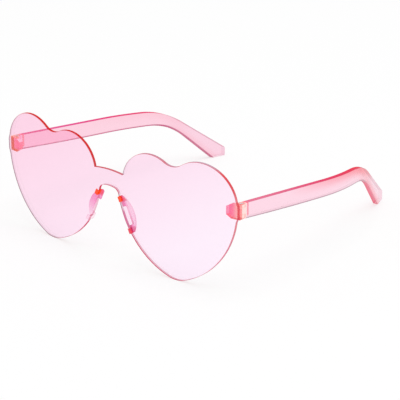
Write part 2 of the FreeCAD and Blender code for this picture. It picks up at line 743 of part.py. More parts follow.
def draw_arm_plan(body):
    """Draws the arm in plan: a straight strip that curves inward behind the ear."""
    drawing = new_sketch(body, "arm_plan", "XY_Plane")
    turn = size("curve_angle").value
    start = size("curve_start").value
    inner_x = half_front - size("arm_thickness")
    inner_radius = size("curve_radius") - knuckle_radius
    outer_radius = size("curve_radius") + knuckle_radius
    centre = (half_front.value - outer_radius.value, start)
    end_y = size("overall_depth") + OVERRUN
    lean = (math.cos(math.radians(turn)), math.sin(math.radians(turn)))

    def bent(radius):
        return (centre[0] + radius * lean[0], centre[1] + radius * lean[1])

    def at_end(point):
        return (point[0] - (end_y.value - point[1]) * math.tan(math.radians(turn)), end_y.value)

    outer_bend = bent(outer_radius.value)
    inner_bend = bent(inner_radius.value)
    outer_line = add_line(drawing, (half_front.value, shoulder_y.value), (half_front.value, start))
    outer_arc = add_arc(drawing, centre, outer_radius.value, 0, turn)
    outer_tail = add_line(drawing, outer_bend, at_end(outer_bend))
    end = add_line(drawing, at_end(outer_bend), at_end(inner_bend))
    inner_tail = add_line(drawing, at_end(inner_bend), inner_bend)
    inner_arc = add_arc(drawing, centre, inner_radius.value, 0, turn)
    inner_line = add_line(drawing, (inner_x.value, start), (inner_x.value, shoulder_y.value))
    front = add_line(drawing, (inner_x.value, shoulder_y.value), (half_front.value, shoulder_y.value))
    join(drawing, "Tangent", outer_line, 2, outer_arc, 1)
    join(drawing, "Tangent", outer_arc, 2, outer_tail, 1)
    join(drawing, "Coincident", outer_tail, 2, end, 1)
    join(drawing, "Coincident", end, 2, inner_tail, 1)
    join(drawing, "Tangent", inner_tail, 2, inner_arc, 2)
    join(drawing, "Tangent", inner_arc, 1, inner_line, 1)
    join(drawing, "Coincident", inner_line, 2, front, 1)
    join(drawing, "Coincident", front, 2, outer_line, 1)
    place_x(drawing, outer_line, 1, half_front)
    place_y(drawing, outer_line, 1, shoulder_y)
    place_x(drawing, inner_line, 2, inner_x)
    place_y(drawing, inner_line, 2, shoulder_y)
    drawing.addConstraint(Sketcher.Constraint("Vertical", outer_line))
    place_y(drawing, outer_arc, 3, size("curve_start"))
    set_radius(drawing, outer_arc, outer_radius)
    join(drawing, "Coincident", outer_arc, 3, inner_arc, 3)
    set_radius(drawing, inner_arc, inner_radius)
    set_angle(drawing, outer_tail, 90 + size("curve_angle"))
    drawing.addConstraint(Sketcher.Constraint("Parallel", outer_tail, inner_tail))
    drawing.addConstraint(Sketcher.Constraint("Horizontal", end))
    place_y(drawing, end, 1, end_y)
    return drawing


def draw_arm_side(body):
    """Draws what is trimmed off the strip in side view, round the arm's outline with its bent-down tip."""
    drawing = new_sketch(body, "arm_side", "YZ_Plane")
    top = arm_level + size("arm_front_height") / 2
    bottom = arm_level - size("arm_front_height") / 2
    slope = math.radians(size("arm_slope").value)
    drop = math.radians(size("drop_slope").value)
    heel = math.radians(size("heel_slope").value)
    tip_radius = size("tip_round").value
    tip_x = size("overall_depth") - size("tip_round")
    tip = (tip_x.value, size("tip_level").value)
    foot_radius = size("tip_foot_round").value
    end_x = size("overall_depth").value
    foot = (end_x - foot_radius, foot_radius)
    heel_radius = size("heel_radius").value
    heel_x = size("overall_depth") - size("heel_setback")
    heel_centre = (heel_x.value, heel_radius)
    belly_x = shoulder_y + size("belly_radius") * sine(size("belly_slope"))
    belly_y = bottom + size("belly_radius") * cosine(size("belly_slope"))
    belly = (belly_x.value, belly_y.value)
    belly_radius = size("belly_radius").value
    outer_radius = size("bend_outer_radius").value
    inner_radius = size("bend_inner_radius").value
    front_top = (shoulder_y.value, top.value)
    front_bottom = (shoulder_y.value, bottom.value)

    # Where the sloping top edge and the drop's upper edge would cross
    drop_end = (tip[0] + tip_radius * math.sin(drop), tip[1] + tip_radius * math.cos(drop))
    gap_y = front_top[1] - drop_end[1] + math.tan(slope) * front_top[0] - math.tan(drop) * drop_end[0]
    corner_x = gap_y / (math.tan(slope) - math.tan(drop))
    corner = (corner_x, front_top[1] - math.tan(slope) * (corner_x - front_top[0]))
    reach = outer_radius * math.tan((drop - slope) / 2)
    bend_start = (corner[0] - reach * math.cos(slope), corner[1] + reach * math.sin(slope))
    bend_end = (corner[0] + reach * math.cos(drop), corner[1] - reach * math.sin(drop))
    outer_bend_y = bend_start[1] - outer_radius * math.cos(slope)
    outer_bend = (bend_start[0] - outer_radius * math.sin(slope), outer_bend_y)

    # The fillet under the bend touches the belly from outside and the heel line from its open side
    heel_start = (heel_centre[0] - heel_radius * math.sin(heel), heel_centre[1] - heel_radius * math.cos(heel))
    line_point = (heel_start[0] - inner_radius * math.sin(heel), heel_start[1] - inner_radius * math.cos(heel))
    along = (-math.cos(heel), math.sin(heel))
    offset = (line_point[0] - belly[0], line_point[1] - belly[1])
    half_b = offset[0] * along[0] + offset[1] * along[1]
    rest = offset[0] ** 2 + offset[1] ** 2 - (belly_radius + inner_radius) ** 2
    travel = -half_b - math.sqrt(half_b**2 - rest)
    inner_bend = (line_point[0] + travel * along[0], line_point[1] + travel * along[1])
    heel_end = (heel_start[0] + travel * along[0], heel_start[1] + travel * along[1])
    neck = towards(belly, inner_bend, belly_radius)

    top_edge = add_line(drawing, bend_start, front_top)
    outer_arc = add_arc(
        drawing, outer_bend, outer_radius, polar(outer_bend, bend_end), polar(outer_bend, bend_start)
    )
    drop_edge = add_line(drawing, drop_end, bend_end)
    tip_arc = add_arc(drawing, tip, tip_radius, 0, 90 - size("drop_slope").value)
    tip_end = add_line(drawing, (end_x, foot_radius), (end_x, tip[1]))
    foot_arc = add_arc(drawing, foot, foot_radius, -90, 0)
    floor = add_line(drawing, (foot[0], 0), (heel_centre[0], 0))
    heel_arc = add_arc(drawing, heel_centre, heel_radius, polar(heel_centre, heel_start), 270)
    heel_edge = add_line(drawing, heel_start, heel_end)
    inner_arc = add_arc(drawing, inner_bend, inner_radius, polar(inner_bend, heel_end), polar(inner_bend, neck))
    belly_arc = add_arc(drawing, belly, belly_radius, polar(belly, front_bottom), polar(belly, neck))
    front = add_line(drawing, front_bottom, front_top)

    join(drawing, "Tangent", top_edge, 1, outer_arc, 2)
    join(drawing, "Tangent", outer_arc, 1, drop_edge, 2)
    join(drawing, "Tangent", drop_edge, 1, tip_arc, 2)
    join(drawing, "Tangent", tip_arc, 1, tip_end, 2)
    join(drawing, "Tangent", tip_end, 1, foot_arc, 2)
    join(drawing, "Tangent", foot_arc, 1, floor, 1)
    join(drawing, "Tangent", floor, 2, heel_arc, 2)
    join(drawing, "Tangent", heel_arc, 1, heel_edge, 1)
    join(drawing, "Tangent", heel_edge, 2, inner_arc, 1)
    join(drawing, "Tangent", inner_arc, 2, belly_arc, 2)
    join(drawing, "Coincident", belly_arc, 1, front, 1)
    join(drawing, "Coincident", front, 2, top_edge, 2)
    place_x(drawing, front, 1, shoulder_y)
    place_y(drawing, front, 1, bottom)
    place_x(drawing, front, 2, shoulder_y)
    place_y(drawing, front, 2, top)
    set_angle(drawing, top_edge, 180 - size("arm_slope"))
    set_radius(drawing, outer_arc, size("bend_outer_radius"))
    set_angle(drawing, drop_edge, 180 - size("drop_slope"))
    place_x(drawing, tip_arc, 3, tip_x)
    place_y(drawing, tip_arc, 3, size("tip_level"))
    set_radius(drawing, tip_arc, size("tip_round"))
    drawing.addConstraint(Sketcher.Constraint("Vertical", tip_end))
    set_radius(drawing, foot_arc, size("tip_foot_round"))
    drawing.addConstraint(Sketcher.Constraint("PointOnObject", floor, 1, -1))
    drawing.addConstraint(Sketcher.Constraint("Horizontal", floor))
    place_x(drawing, heel_arc, 3, heel_x)
    set_radius(drawing, heel_arc, size("heel_radius"))
    set_angle(drawing, heel_edge, 180 - size("heel_slope"))
    set_radius(drawing, inner_arc, size("bend_inner_radius"))
    place_x(drawing, belly_arc, 3, belly_x)
    place_y(drawing, belly_arc, 3, belly_y)

    front_waste = shoulder_y - OVERRUN
    back_waste = size("overall_depth") + OVERRUN * 2
    top_waste = top + size("arm_front_height") + OVERRUN
    add_box_outline(drawing, (front_waste, as_size(-OVERRUN)), (back_waste, top_waste))
    return drawing


def draw_tongue_plan(body):
    """Draws the rounded hinge tongue with its screw hole."""
    drawing = new_sketch(body, "tongue_plan", "XY_Plane", tongue_bottom)
    inner_x = axis_x - knuckle_radius
    root_y = shoulder_y + size("arm_thickness") / 2
    nose = add_arc(drawing, (axis_x.value, axis_y.value), knuckle_radius.value, 180, 360)
    outer = add_line(drawing, (half_front.value, axis_y.value), (half_front.value, root_y.value))
    back = add_line(drawing, (half_front.value, root_y.value), (inner_x.value, root_y.value))
    inner = add_line(drawing, (inner_x.value, root_y.value), (inner_x.value, axis_y.value))
    join(drawing, "Coincident", nose, 2, outer, 1)
    join(drawing, "Coincident", outer, 2, back, 1)
    join(drawing, "Coincident", back, 2, inner, 1)
    join(drawing, "Coincident", inner, 2, nose, 1)
    place_x(drawing, nose, 3, axis_x)
    place_y(drawing, nose, 3, axis_y)
    place_x(drawing, outer, 1, half_front)
    place_y(drawing, outer, 1, axis_y)
    place_x(drawing, back, 1, half_front)
    place_y(drawing, back, 1, root_y)
    place_x(drawing, back, 2, inner_x)
    place_y(drawing, back, 2, root_y)
    place_y(drawing, inner, 2, axis_y)
    add_circle(drawing, axis_x, axis_y, size("screw_radius") + size("screw_fit"))
    return drawing


def build_temple_arm(label):
    """Makes the curved strip, trims it to its side outline, rounds it and adds the hinge tongue."""
    body = new_body(label)
    add_pad(body, "strip", draw_arm_plan(body), arm_level + size("arm_front_height"))
    trimmed = add_pocket(body, "side_trim", draw_arm_side(body), backwards=True)
    shoulder = shoulder_y.value

    def away_from_hinge(edge):
        """Picks the long edges where the strip's sides meet its rim."""
        box = edge.BoundBox
        crosswise = edge.Length < size("arm_thickness").value * 1.2
        return box.YMax > shoulder + 1e-3 and not crosswise

    rounded = add_fillet(body, "edge_round", trimmed, away_from_hinge, size("arm_edge_round"))
    body.Tip = rounded
    add_pad(body, "tongue", draw_tongue_plan(body), size("tongue_height"))
    return body


# Nose pad


def draw_pad_outline(body, plate_front, bow):
    """Draws the pad's outline: a straight side along the lens edge, round ends and a bowed outer side."""
    plate = new_sketch(body, "pad_outline", "XZ_Plane", -plate_front)
    low = -size("pad_overhang")
    centre = (bow["middle"].value, bow["level"].value)
    top_centre = (bow["middle"].value - bow["reach"].value, bow["end_level"].value)
    bottom_centre = (bow["middle"].value + bow["reach"].value, bow["end_level"].value)
    bottom_turn = polar(centre, bottom_centre)
    top_turn = polar(centre, top_centre)
    outer = add_arc(plate, centre, bow["radius"].value, bottom_turn, top_turn)
    top_end = add_arc(plate, top_centre, size("pad_end_radius").value, top_turn, 270)
    straight = add_line(plate, (top_centre[0], low.value), (bottom_centre[0], low.value))
    bottom_end = add_arc(plate, bottom_centre, size("pad_end_radius").value, -90, bottom_turn)
    join(plate, "Tangent", outer, 2, top_end, 1)
    join(plate, "Tangent", top_end, 2, straight, 1)
    join(plate, "Tangent", straight, 2, bottom_end, 1)
    join(plate, "Tangent", bottom_end, 2, outer, 1)
    place_x(plate, top_end, 3, bow["middle"] - bow["reach"])
    place_x(plate, bottom_end, 3, bow["middle"] + bow["reach"])
    place_y(plate, straight, 1, low)
    place_y(plate, straight, 2, low)
    set_radius(plate, top_end, size("pad_end_radius"))
    set_radius(plate, bottom_end, size("pad_end_radius"))
    set_radius(plate, outer, bow["radius"])
    return plate


def draw_pad_window(body):
    """Draws the bay between the pad's two ends, open towards the nose and rounded at its inner corners."""
    window = new_sketch(body, "window_outline", "XZ_Plane")
    corner = size("window_corner")
    upper = size("pad_top_end") - pad_rise
    lower = pad_drop - size("pad_bottom_end")
    far = size("window_depth")
    low = -size("pad_overhang") - OVERRUN
    near = far - corner
    upper_side = add_line(window, (upper.value, low.value), (upper.value, near.value))
    upper_corner = add_arc(window, (upper.value + corner.value, near.value), corner.value, 90, 180)
    inner_start = (upper.value + corner.value, far.value)
    inner_side = add_line(window, inner_start, (lower.value - corner.value, far.value))
    lower_corner = add_arc(window, (lower.value - corner.value, near.value), corner.value, 0, 90)
    lower_side = add_line(window, (lower.value, near.value), (lower.value, low.value))
    mouth = add_line(window, (lower.value, low.value), (upper.value, low.value))
    join(window, "Tangent", upper_side, 2, upper_corner, 2)
    join(window, "Tangent", upper_corner, 1, inner_side, 1)
    join(window, "Tangent", inner_side, 2, lower_corner, 2)
    join(window, "Tangent", lower_corner, 1, lower_side, 1)
    join(window, "Coincident", lower_side, 2, mouth, 1)
    join(window, "Coincident", mouth, 2, upper_side, 1)
    place_x(window, upper_side, 1, upper)
    place_y(window, upper_side, 1, low)
    place_x(window, lower_side, 2, lower)
    place_y(window, lower_side, 2, low)
    for side in (upper_side, lower_side):
        window.addConstraint(Sketcher.Constraint("Vertical", side))
    place_y(window, inner_side, 1, far)
    place_y(window, inner_side, 2, far)
    set_radius(window, upper_corner, corner)
    set_radius(window, lower_corner, corner)
    return window


def build_nose_pad(label):
    """Makes a bowed pad behind the lens with two hooks that reach through the notches of the lens edge.

    The pad's own x runs down along the lens edge, y runs back and z points into the heart.
    """
    body = new_body(label)
    end_radius = size("pad_end_radius")
    reach = size("pad_length") / 2 - end_radius
    end_level = end_radius - size("pad_overhang")
    bulge = size("pad_width") - end_level
    radius = (reach * reach + bulge * bulge - end_radius * end_radius) / ((bulge - end_radius) * 2)
    middle = (pad_drop - pad_rise) / 2
    level = size("pad_width") - radius
    bow = {"middle": middle, "reach": reach, "end_level": end_level, "radius": radius, "level": level}
    far_x = seat_x + middle * cosine(pad_lean) + level * sine(pad_lean) + radius
    lens_back_y = size("lens_radius") - root(lens_back_radius * lens_back_radius - far_x * far_x)
    plate_front = lens_back_y + size("pad_clearance")
    plate = draw_pad_outline(body, plate_front, bow)
    slab = add_pad(body, "slab", plate, size("pad_thickness"), backwards=True)
    back = (plate_front + size("pad_thickness")).value

    def on_back_face(edge):
        return edge.BoundBox.YMin > back - 1e-3

    rounded = add_fillet(body, "pad_round", slab, on_back_face, size("pad_edge_round"))
    body.Tip = rounded
    add_pocket(body, "window", draw_pad_window(body))

    claw_back = -size("pad_clearance")
    claw_front = claw_back - size("claw_thickness")
    web_back = plate_front + size("pad_thickness") / 2
    for name, (start, gap) in hook_places.items():
        inner = gap + size("hook_web")
        web = new_sketch(body, f"{name}_web_outline", "YZ_Plane", start)
        add_box_outline(web, (claw_front, gap), (web_back, inner))
        add_pad(body, f"{name}_web", web, size("hook_length"))
        claw = new_sketch(body, f"{name}_claw_outline", "YZ_Plane", start)
        add_box_outline(claw, (claw_front, gap), (claw_back, inner + size("claw_reach")))
        add_pad(body, f"{name}_claw", claw, size("hook_length"))
    return body


# The wearer's left pieces are modelled, and the right ones mirror them


def seat(body, across, back, height, turn=0):
    """Puts a body in the row frame, with its position and its turn about Y driven from the sheet."""
    spin = FreeCAD.Rotation(FreeCAD.Vector(0, 1, 0), as_size(turn).value)
    base = FreeCAD.Vector(as_size(across).value, as_size(back).value, as_size(height).value)
    body.Placement = FreeCAD.Placement(base, spin)
    for letter, dimension in (("x", across), ("y", back), ("z", height)):
        bind(body, f"Placement.Base.{letter}", as_size(dimension))
    bind(body, "Placement.Rotation.Angle", as_size(turn))


def mirror_piece(body, label):
    """Mirrors a piece to the wearer's right side."""
    copy = doc.addObject("Part::Mirroring", label)
    copy.Label = label
    copy.Source = body
    copy.Normal = FreeCAD.Vector(1, 0, 0)
    return copy


lens = build_lens_shield()
seat(lens, 0, row_offset, 0)

end_piece = build_end_piece("left_end_piece")
seat(end_piece, 0, row_offset, 0)

screw = build_hinge_screw("left_hinge_screw")
seat(screw, axis_x, row_offset + axis_y, 0)

arm = build_temple_arm("left_temple_arm")
seat(arm, 0, row_offset, 0)

pad = build_nose_pad("left_nose_pad")
seat(pad, seat_x, row_offset, seat_z, pad_lean)

pieces = [lens]
for piece in (end_piece, screw, arm, pad):
    pieces.append(piece)
    pieces.append(mirror_piece(piece, piece.Label.replace("left", "right")))
doc.recompute()

for item in doc.Objects:
    if "Invalid" in item.State or "Error" in item.State:
        raise RuntimeError(f"{item.Label} failed: {item.State}")
for piece in pieces:
    if piece.Shape.isNull() or not piece.Shape.isValid():
        raise RuntimeError(f"{piece.Label} has no valid shape")

os.makedirs("parts", exist_ok=True)
for piece in pieces:
    piece.Shape.exportStep(f"parts/{piece.Label}.step")
    box = piece.Shape.BoundBox
    print(piece.Label, len(piece.Shape.Solids), round(piece.Shape.Volume, 2), box)
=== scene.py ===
"""Studio scene for a pair of rimless heart shaped sunglasses moulded in clear pink plastic."""

import logging
import math
from dataclasses import dataclass
from enum import Enum
from typing import Union

import bpy
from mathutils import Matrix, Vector

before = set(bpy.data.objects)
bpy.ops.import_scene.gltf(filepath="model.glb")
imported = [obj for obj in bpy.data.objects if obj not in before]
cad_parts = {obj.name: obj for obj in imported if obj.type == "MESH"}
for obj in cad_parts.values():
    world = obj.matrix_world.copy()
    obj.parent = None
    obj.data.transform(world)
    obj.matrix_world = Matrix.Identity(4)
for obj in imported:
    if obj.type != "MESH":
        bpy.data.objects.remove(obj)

LOG = logging.getLogger("heart_sunglasses")

MM = 0.001
# Millimetres along Y from the lens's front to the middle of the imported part.
LENS_TO_MIDDLE = 75.375
WHITE = (1.0, 1.0, 1.0)
# How many finer layers the fine cloudy variation has.
GRAIN_DETAIL = 3.0

Colour = tuple[float, float, float]
Place = tuple[float, float, float]
# Where a change over a surface starts and where it ends.
Span = tuple[float, float]
Setting = Union[str, float, int, bool]


def srgb(red: int, green: int, blue: int) -> Colour:
    """Turns a display colour into linear light.

    Args:
        red: Red from 0 to 255.
        green: Green from 0 to 255.
        blue: Blue from 0 to 255.

    Returns:
        The colour as three linear shares from 0 to 1.
    """

    def linear(level: int) -> float:
        """Undoes the display curve of one channel."""
        share = level / 255
        return share / 12.92 if share <= 0.04045 else ((share + 0.055) / 1.055) ** 2.4

    return linear(red), linear(green), linear(blue)


def one_face(colour: Colour) -> Colour:
    """Gives what one face of a clear wall lets through, when light crosses two faces to get the colour.

    Args:
        colour: Linear colour of white light that has crossed both faces.

    Returns:
        Linear colour for one face.
    """
    return tuple(math.sqrt(share) for share in colour)


class Side(Enum):
    """The wearer's side that a paired piece belongs to."""

    LEFT = "left"
    RIGHT = "right"


class Axis(Enum):
    """One of a piece's own axes, named as on a Separate XYZ node."""

    X = "X"
    Y = "Y"
    Z = "Z"


class Source(Enum):
    """What a material reads over a piece: places in metres or the surface's direction."""

    PLACE = "Object"
    DIRECTION = "Normal"


class Term:
    """A shader value whose Python operators add Math nodes."""

    def __init__(self, bench: "ShaderBench", socket: bpy.types.NodeSocket) -> None:
        """Keeps the socket and the bench that it belongs to."""
        self.bench = bench
        self.socket = socket

    def __add__(self, other: "Operand") -> "Term":
        """Adds."""
        return self.bench.maths("ADD", self, other)

    def __radd__(self, other: "Operand") -> "Term":
        """Adds to a number."""
        return self.bench.maths("ADD", other, self)

    def __sub__(self, other: "Operand") -> "Term":
        """Subtracts."""
        return self.bench.maths("SUBTRACT", self, other)

    def __rsub__(self, other: "Operand") -> "Term":
        """Subtracts from a number."""
        return self.bench.maths("SUBTRACT", other, self)

    def __mul__(self, other: "Operand") -> "Term":
        """Multiplies."""
        return self.bench.maths("MULTIPLY", self, other)

    def __rmul__(self, other: "Operand") -> "Term":
        """Multiplies a number."""
        return self.bench.maths("MULTIPLY", other, self)

    def __pow__(self, other: "Operand") -> "Term":
        """Raises to a power."""
        return self.bench.maths("POWER", self, other)

    def __abs__(self) -> "Term":
        """Drops the sign."""
        return self.bench.maths("ABSOLUTE", self)


Operand = Union[Term, float, int]
Shade = Union[Term, Colour]


class ShaderBench:
    """The node tree of one material or world, with short ways to add nodes to it."""

    def __init__(self, owner: Union[bpy.types.Material, bpy.types.World]) -> None:
        """Empties the owner's node tree.

        Args:
            owner: The material or world to build.
        """
        owner.use_nodes = True
        self.owner = owner
        self.tree = owner.node_tree
        self.tree.nodes.clear()

    def node(
        self, kind: str, output: str = "", settings: dict[str, Setting] | None = None, **inputs: object
    ) -> Term:
        """Adds one node.

        Args:
            kind: The node's type, without the words that all shader nodes start with.
            output: The name of the output to hand back, or the first one.
            settings: Properties of the node, set before its sockets.
            inputs: Values or links by socket name, with underscores for spaces, or by place as at_0, at_1.

        Returns:
            The chosen output.
        """
        made = self.tree.nodes.new("ShaderNode" + kind)
        for key, value in (settings or {}).items():
            setattr(made, key, value)
        for key, value in inputs.items():
            socket = made.inputs[int(key[3:]) if key.startswith("at_") else key.replace("_", " ")]
            if isinstance(value, Term):
                self.tree.links.new(value.socket, socket)
            elif socket.type == "RGBA":
                socket.default_value = (*value, 1.0)
            else:
                socket.default_value = value
        return Term(self, made.outputs[output] if output else made.outputs[0])

    def maths(self, operation: str, *operands: Operand) -> Term:
        """Adds a Math node.

        Args:
            operation: The node's operation.
            operands: Its inputs in order.

        Returns:
            The result.
        """
        inputs = {f"at_{place}": operand for place, operand in enumerate(operands)}
        return self.node("Math", settings={"operation": operation}, **inputs)

    def ease(self, value: Term, low: Operand, high: Operand) -> Term:
        """Eases from 0 at low to 1 at high.

        Args:
            value: What is measured.
            low: Where the change starts.
            high: Where it ends, which may be below low.

        Returns:
            The share from 0 to 1.
        """
        settings = {"interpolation_type": "SMOOTHSTEP"}
        return self.node("MapRange", "Result", settings, Value=value, From_Min=low, From_Max=high)

    def ramp(self, value: Term, low: float, high: float) -> Term:
        """Rises evenly from 0 at low to 1 at high.

        Args:
            value: What is measured.
            low: Where the change starts.
            high: Where it ends.

        Returns:
            The share from 0 to 1.
        """
        return self.node("MapRange", "Result", {"clamp": True}, Value=value, From_Min=low, From_Max=high)

    def between(self, share: Term, first: Operand, second: Operand) -> Term:
        """Gives a value between two others.

        Args:
            share: How far it is from the first one to the second.
            first: The value at 0.
            second: The value at 1.

        Returns:
            The value.
        """
        return first + (second - first) * share

    def blend(self, share: Operand, first: Shade, second: Shade) -> Term:
        """Mixes two colours.

        Args:
            share: How much of the second one there is.
            first: The colour at 0.
            second: The colour at 1.

        Returns:
            The mixed colour.
        """
        # The Mix node has its two colours at places 6 and 7, and their mix at place 2.
        made = self.node("Mix", "", {"data_type": "RGBA"}, at_0=share, at_6=first, at_7=second)
        return Term(self, made.socket.node.outputs[2])

    def layer(self, share: Operand, first: Term, second: Term) -> Term:
        """Mixes two shaders.

        Args:
            share: How much of the second one there is.
            first: The shader at 0.
            second: The shader at 1.

        Returns:
            The mixed shader.
        """
        return self.node("MixShader", at_0=share, at_1=first, at_2=second)

    def read(self, source: Source, axis: Axis) -> Term:
        """Reads one part of a piece's own coordinates.

        Args:
            source: Place or direction.
            axis: The axis to read.

        Returns:
            The coordinate.
        """
        return self.node("SeparateXYZ", axis.value, Vector=self.node("TexCoord", source.value))

    def place(self, axis: Axis) -> Term:
        """Reads a place along one axis in millimetres."""
        return self.read(Source.PLACE, axis) * (1 / MM)

    def inside(self) -> Term:
        """Gives 1 where a face is seen through the plastic, from its inner side."""
        return self.node("NewGeometry", "Backfacing")

    def outward(self, axis: Axis) -> Term:
        """Reads how far a face points along one axis, out of the piece."""
        return self.read(Source.DIRECTION, axis) * (1 - 2 * self.inside())

    def larger(self, first: Operand, second: Operand) -> Term:
        """Gives the larger of two values."""
        return self.maths("MAXIMUM", first, second)

    def grain(self, scale: float) -> Term:
        """Makes fine cloudy variation.

        Args:
            scale: How many clouds fit in a metre, about.

        Returns:
            A share about 0.5.
        """
        place = self.node("TexCoord", Source.PLACE.value)
        return self.node("TexNoise", "Fac", Vector=place, Scale=scale, Detail=GRAIN_DETAIL)

    def tint(self, colour: Colour) -> Term:
        """Makes one face of a clear wall, by the colour that white has after both faces."""
        return self.node("BsdfTransparent", Color=one_face(colour))

    def solid(self, colour: Shade, glow: float) -> Term:
        """Makes plastic that scatters light, with a painted glow from its emission that stands in for the
        light the clear wall guides to it.

        Args:
            colour: Its colour.
            glow: The strength of the painted glow.

        Returns:
            The shader.
        """
        return self.node(
            "BsdfPrincipled",
            Base_Color=colour,
            Roughness=0.5,
            Specular_IOR_Level=0.0,
            Emission_Color=colour,
            Emission_Strength=glow,
        )

    def gloss_share(self, straight: float) -> Term:
        """Gives the share of light that a smooth clear face mirrors.

        Args:
            straight: The share at a straight look.

        Returns:
            The share, which rises to 1 at a grazing look.
        """
        grazing = self.node("LayerWeight", "Facing", Blend=0.5)
        return straight + (1 - straight) * grazing**5

    def seen(self) -> Term:
        """Gives 1 on the rays that show the room to the eye.

        Returns:
            The share, which is 0 on the rays that only carry light.
        """
        path = self.node("LightPath").socket.node
        straight, mirrored, through = (
            Term(self, path.outputs[f"Is {ray} Ray"]) for ray in ("Camera", "Glossy", "Transmission")
        )
        return self.larger(self.larger(straight, mirrored), through)

    def show(self, surface: Term) -> None:
        """Connects the surface to the output.

        Args:
            surface: The shader to show.
        """
        kind = "OutputWorld" if isinstance(self.owner, bpy.types.World) else "OutputMaterial"
        end = self.tree.nodes.new("ShaderNode" + kind)
        self.tree.links.new(surface.socket, end.inputs["Surface"])


@dataclass(frozen=True)
class ClearPlastic:
    """Polished clear plastic. Each kind says what its walls look like.

    Attributes:
        name: The material's name.
        ripple: How strongly the surface waves, from moulding.
        wave_scale: How many waves fit in a metre, about.
        polish: The roughness where the surface is smoothest and where it is roughest.
        polish_scale: How many smooth places fit in a metre, about.
        gloss: The share of light that the surface mirrors at a straight look.
        dulling: The share of the gloss that the narrow faces lose.
        edge_glow: The strength of the painted glow in the narrow faces, standing in for guided light.
    """

    name: str
    ripple: float = 0.02
    wave_scale: float = 60.0
    polish: Span = (0.03, 0.07)
    polish_scale: float = 900.0
    gloss: float = 0.04
    dulling: float = 0.9
    edge_glow: float = 0.1

    def make(self) -> bpy.types.Material:
        """Builds the material.

        Returns:
            The material.
        """
        material = bpy.data.materials.new(self.name)
        bench = ShaderBench(material)
        wave = bench.node("Bump", Height=bench.grain(self.wave_scale), Strength=self.ripple, Distance=MM)
        polish = bench.between(bench.grain(self.polish_scale), *self.polish)
        mirror = bench.node("BsdfAnisotropic", Color=WHITE, Roughness=polish, Normal=wave)
        gloss = bench.gloss_share(self.gloss) * (1 - self.dulling * self.narrow(bench))
        bench.show(bench.layer(gloss, self.wall(bench), mirror))
        return material

    def narrow(self, bench: ShaderBench) -> Term:
        """Gives 1 on the narrow faces, which are cut or rounded and less polished."""
        raise NotImplementedError

    def wall(self, bench: ShaderBench) -> Term:
        """Gives the wall under the gloss."""
        raise NotImplementedError


